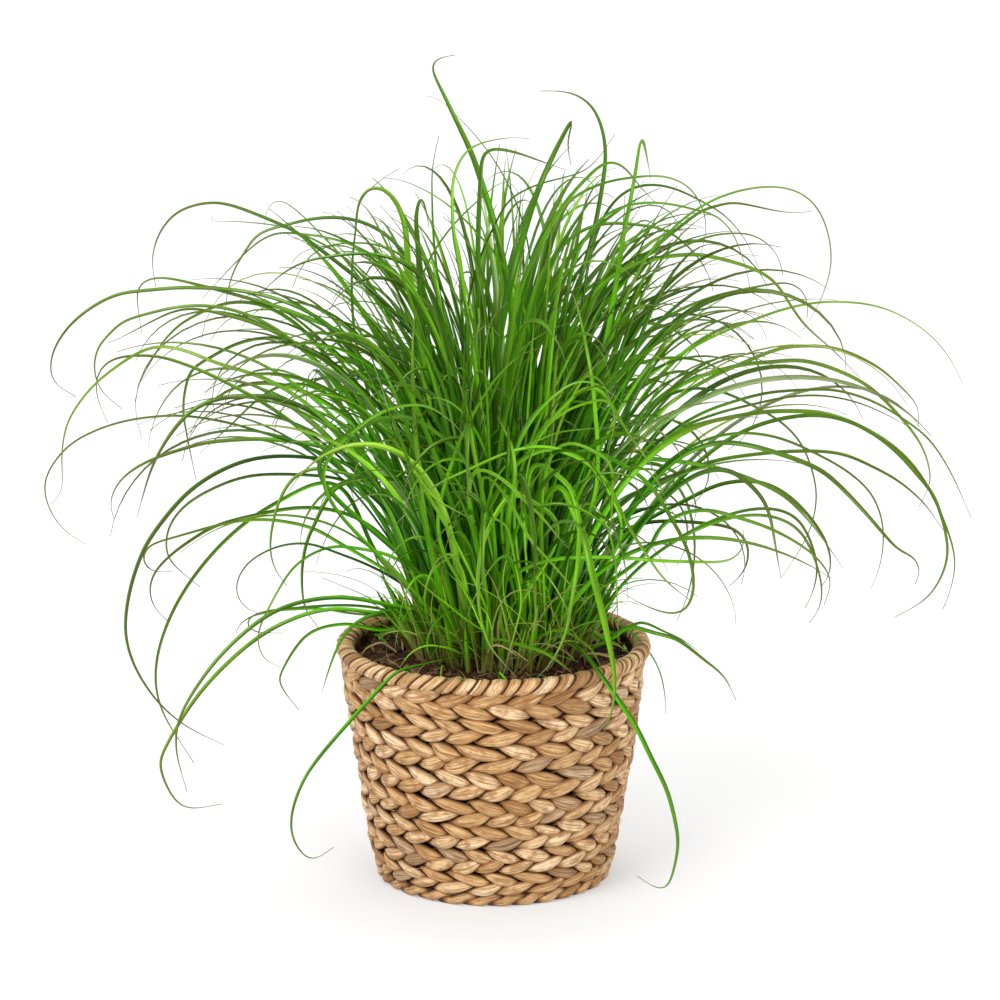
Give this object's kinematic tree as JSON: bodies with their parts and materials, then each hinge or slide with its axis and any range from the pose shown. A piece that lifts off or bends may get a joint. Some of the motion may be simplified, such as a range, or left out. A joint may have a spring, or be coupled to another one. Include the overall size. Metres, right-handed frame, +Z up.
{
  "type": "potted umbrella sedge",
  "caption": "Clump of narrow arching sedge leaves growing in dark soil in a round braided straw basket, a free-standing decorative pot plant.",
  "frame": {"origin": "centre of the basket's flat bottom, on the surface it stands on", "axes": "+Z up along the basket's axis, -Y towards the front that the picture shows, +X to the right seen from the front"},
  "size_m": [0.5464, 0.4202, 0.4856],
  "materials": {
    "straw": null,
    "straw_dark": null,
    "straw_rim": null,
    "soil": null,
    "sheath": null,
    "leaf": null,
    "single_leaf": null
  },
  "bodies": {
    "root": {"basket_base": "straw_dark", "base_rope": "straw_dark", "braid_row_1": "straw", "braid_row_2": "straw", "braid_row_3": "straw", "braid_row_4": "straw", "braid_row_5": "straw", "braid_row_6": "straw", "braid_row_7": "straw", "braid_row_8": "straw", "rim": "straw_rim", "soil": "soil", "crown": "sheath", "tuft_centre": "leaf", "tuft_inner_1": "leaf", "tuft_inner_2": "leaf", "tuft_inner_3": "leaf", "tuft_inner_4": "leaf", "tuft_inner_5": "leaf", "tuft_middle_1": "leaf", "tuft_middle_2": "leaf", "tuft_middle_3": "leaf", "tuft_middle_4": "leaf", "tuft_middle_5": "leaf", "tuft_middle_6": "leaf", "tuft_middle_7": "leaf", "tuft_middle_8": "leaf", "tuft_middle_9": "leaf", "tuft_outer_1": "leaf", "tuft_outer_2": "leaf", "tuft_outer_3": "leaf", "tuft_outer_4": "leaf", "tuft_outer_5": "leaf", "tuft_outer_6": "leaf", "tuft_outer_7": "leaf", "tuft_outer_8": "leaf", "tuft_outer_9": "leaf", "tuft_outer_10": "leaf", "tuft_outer_11": "leaf", "leaf_over_rim_left": "single_leaf", "leaf_over_rim_front": "single_leaf", "leaf_over_rim_right": "single_leaf", "leaf_low_left_1": "single_leaf", "leaf_low_left_2": "single_leaf", "leaf_low_left_3": "single_leaf", "leaf_hanging_left": "single_leaf", "leaf_low_right_1": "single_leaf", "leaf_low_right_2": "single_leaf", "leaf_hanging_right": "single_leaf", "leaf_curled_right": "single_leaf"}
  },
  "joints": []
}
